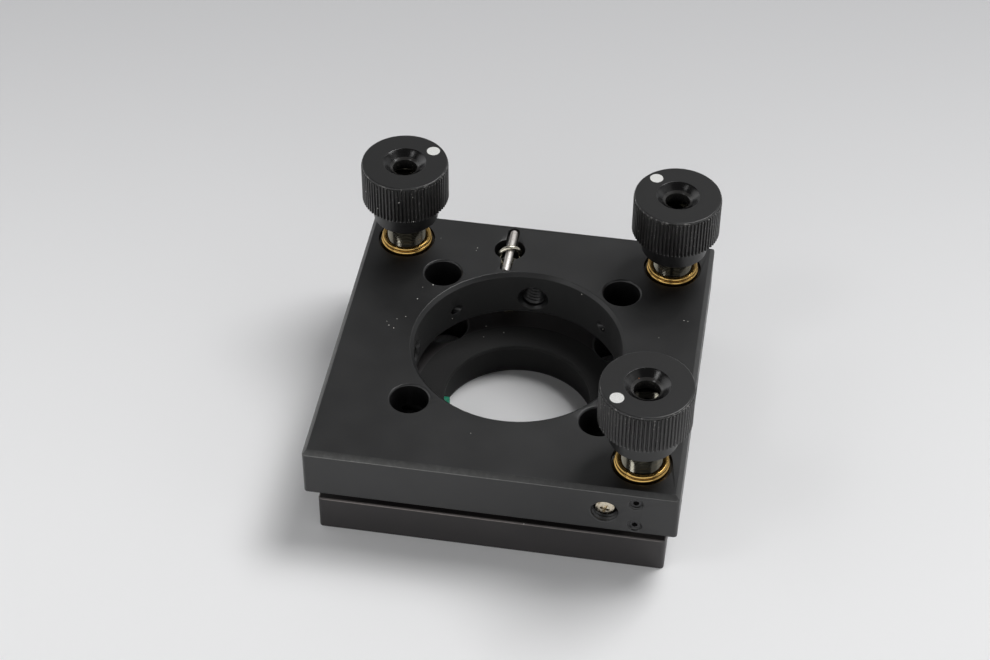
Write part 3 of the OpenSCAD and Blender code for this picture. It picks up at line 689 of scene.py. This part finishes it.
def crumbs(body, groups, source, material, name="dust"):
    bm = bmesh.new()
    for place, spread, count in groups:
        for i in range(count):
            away = Vector((source.uniform(-spread, spread), source.uniform(-spread, spread), 0))
            away *= dust["onKnob"] if body == "knob_a" else 1
            size = dust["size"] * source.uniform(*dust["sizes"])
            crumb = bmesh.ops.create_icosphere(bm, subdivisions=1, radius=size)["verts"]
            for v in crumb:
                v.co *= source.uniform(*dust["lumps"])
            bmesh.ops.scale(bm, verts=crumb, vec=(1, source.uniform(*dust["widths"]), dust["flat"]))
            bmesh.ops.rotate(bm, verts=crumb, matrix=Matrix.Rotation(source.uniform(0, pi), 3, "Z"))
            bmesh.ops.translate(bm, verts=crumb, vec=(Vector(place) + away) * mm)
    finishPiece(name + "".join(word.capitalize() for word in body.split("_")), bm, material, body, 60)


source = random.Random(dust["seed"])
for body in ("back", "front", "knob_a"):
    crumbs(body, dust[body], source, dustMaterial)
crumbs("knob_c", dust["rusty"], source, rustMaterial, "rust")
print("dust laid")

# finishes for the CAD nodes that stay
kept = [(polishedMaterial, ["ball_tip_a", "ball_tip_b", "ball_tip_c",
                            "groove_seat_a", "cone_seat_b", "flat_seat_c"]),
        (oxideMaterial, ["optic_screw", "bushing_screws"]),
        (nylonMaterial, ["optic_screw_tip"])]
for material, names in kept:
    for name in names:
        for slot in nodes[name].material_slots:
            slot.material = material

# floor, world and lamps
floorLook = {"size": 4.0, "sunk": 0.02 * mm, "front": (0.86, 0.86, 0.865), "far": (0.475, 0.475, 0.485),
             "turn": radians(cameraSetup["azimuth"]), "from": -0.05, "to": 0.19}
bm = bmesh.new()
bmesh.ops.create_grid(bm, x_segments=1, y_segments=1, size=floorLook["size"] / 2)
bmesh.ops.translate(bm, verts=bm.verts, vec=(0, 0, -floorLook["sunk"]))
floorMesh = bpy.data.meshes.new("floor")
bm.to_mesh(floorMesh)
bm.free()
floor = bpy.data.objects.new("floor", floorMesh)
scene.collection.objects.link(floor)
f = Finish("palePaperPaintedFalloff")
x, y, z = f.split(f.place())
away = y * cos(floorLook["turn"]) - x * sin(floorLook["turn"])  # metres behind the mount, from the camera
away = away.between(floorLook["from"], floorLook["to"])
# The floor's colour darkens from the front to the far side: a painted falloff of the light.
floorMesh.materials.append(f.shade(colour=f.mix(away, floorLook["front"], floorLook["far"]), rough=0.8))

# a pale room whose light comes mostly from low down, all round
room = {"colour": (0.9, 0.91, 0.92), "low": 0.56, "high": 0.04, "from": 0.3, "to": 0.65}
scene.world = bpy.data.worlds.new("paleRoom")
f = Finish("paleRoom", scene.world)
height = f.split(f.add("ShaderNodeTexCoord"))[2]
glow = room["low"] + height.between(room["from"], room["to"]) * (room["high"] - room["low"])
sky = f.add("ShaderNodeBackground", {}, {"Color": (*room["colour"], 1), "Strength": glow})
f.add("ShaderNodeOutputWorld", {}, {"Surface": sky})


def softbox(name, place, target, width, height, power):
    lamp = bpy.data.lights.new(name, "AREA")
    lamp.shape, lamp.size, lamp.size_y, lamp.energy = "RECTANGLE", width, height, power
    box = bpy.data.objects.new(name, lamp)
    box.location = place
    box.rotation_euler = (Vector(target) - Vector(place)).to_track_quat("-Z", "Y").to_euler()
    scene.collection.objects.link(box)


# each lamp is its place, its target, its width and height in metres, and its power in watts
lamps = {"highBox": ((0.182, 0.182, 1.274), (0, 0, 0), 0.12, 0.12, 0.45),
         "wideBox": ((0.4, 0.36, 1.07), (0, 0, 0), 0.55, 0.5, 8.9),
         "rightWall": ((1.15, 0.1, 0.45), (0, 0, 0.02), 1.8, 0.8, 1.4),
         "leftWall": ((-1.15, 0.1, 0.45), (0, 0, 0.02), 1.8, 0.8, 3.6),
         "frontWall": ((0, -1.3, 0.42), (0, 0, 0.02), 2.8, 0.9, 9.0),
         "backWall": ((-0.15, 0.95, 0.85), (0, 0, 0), 1.4, 0.7, 0.85),
         "rightBox": ((0.72, -0.06, 0.66), (0, 0, 0.01), 0.6, 0.5, 0.3),
         "frontBox": ((-0.44, -0.36, 0.7), (0, 0, 0.02), 0.18, 0.18, 0.45)}
for name, setting in lamps.items():
    softbox(name, *setting)
print("floor and lamps made")
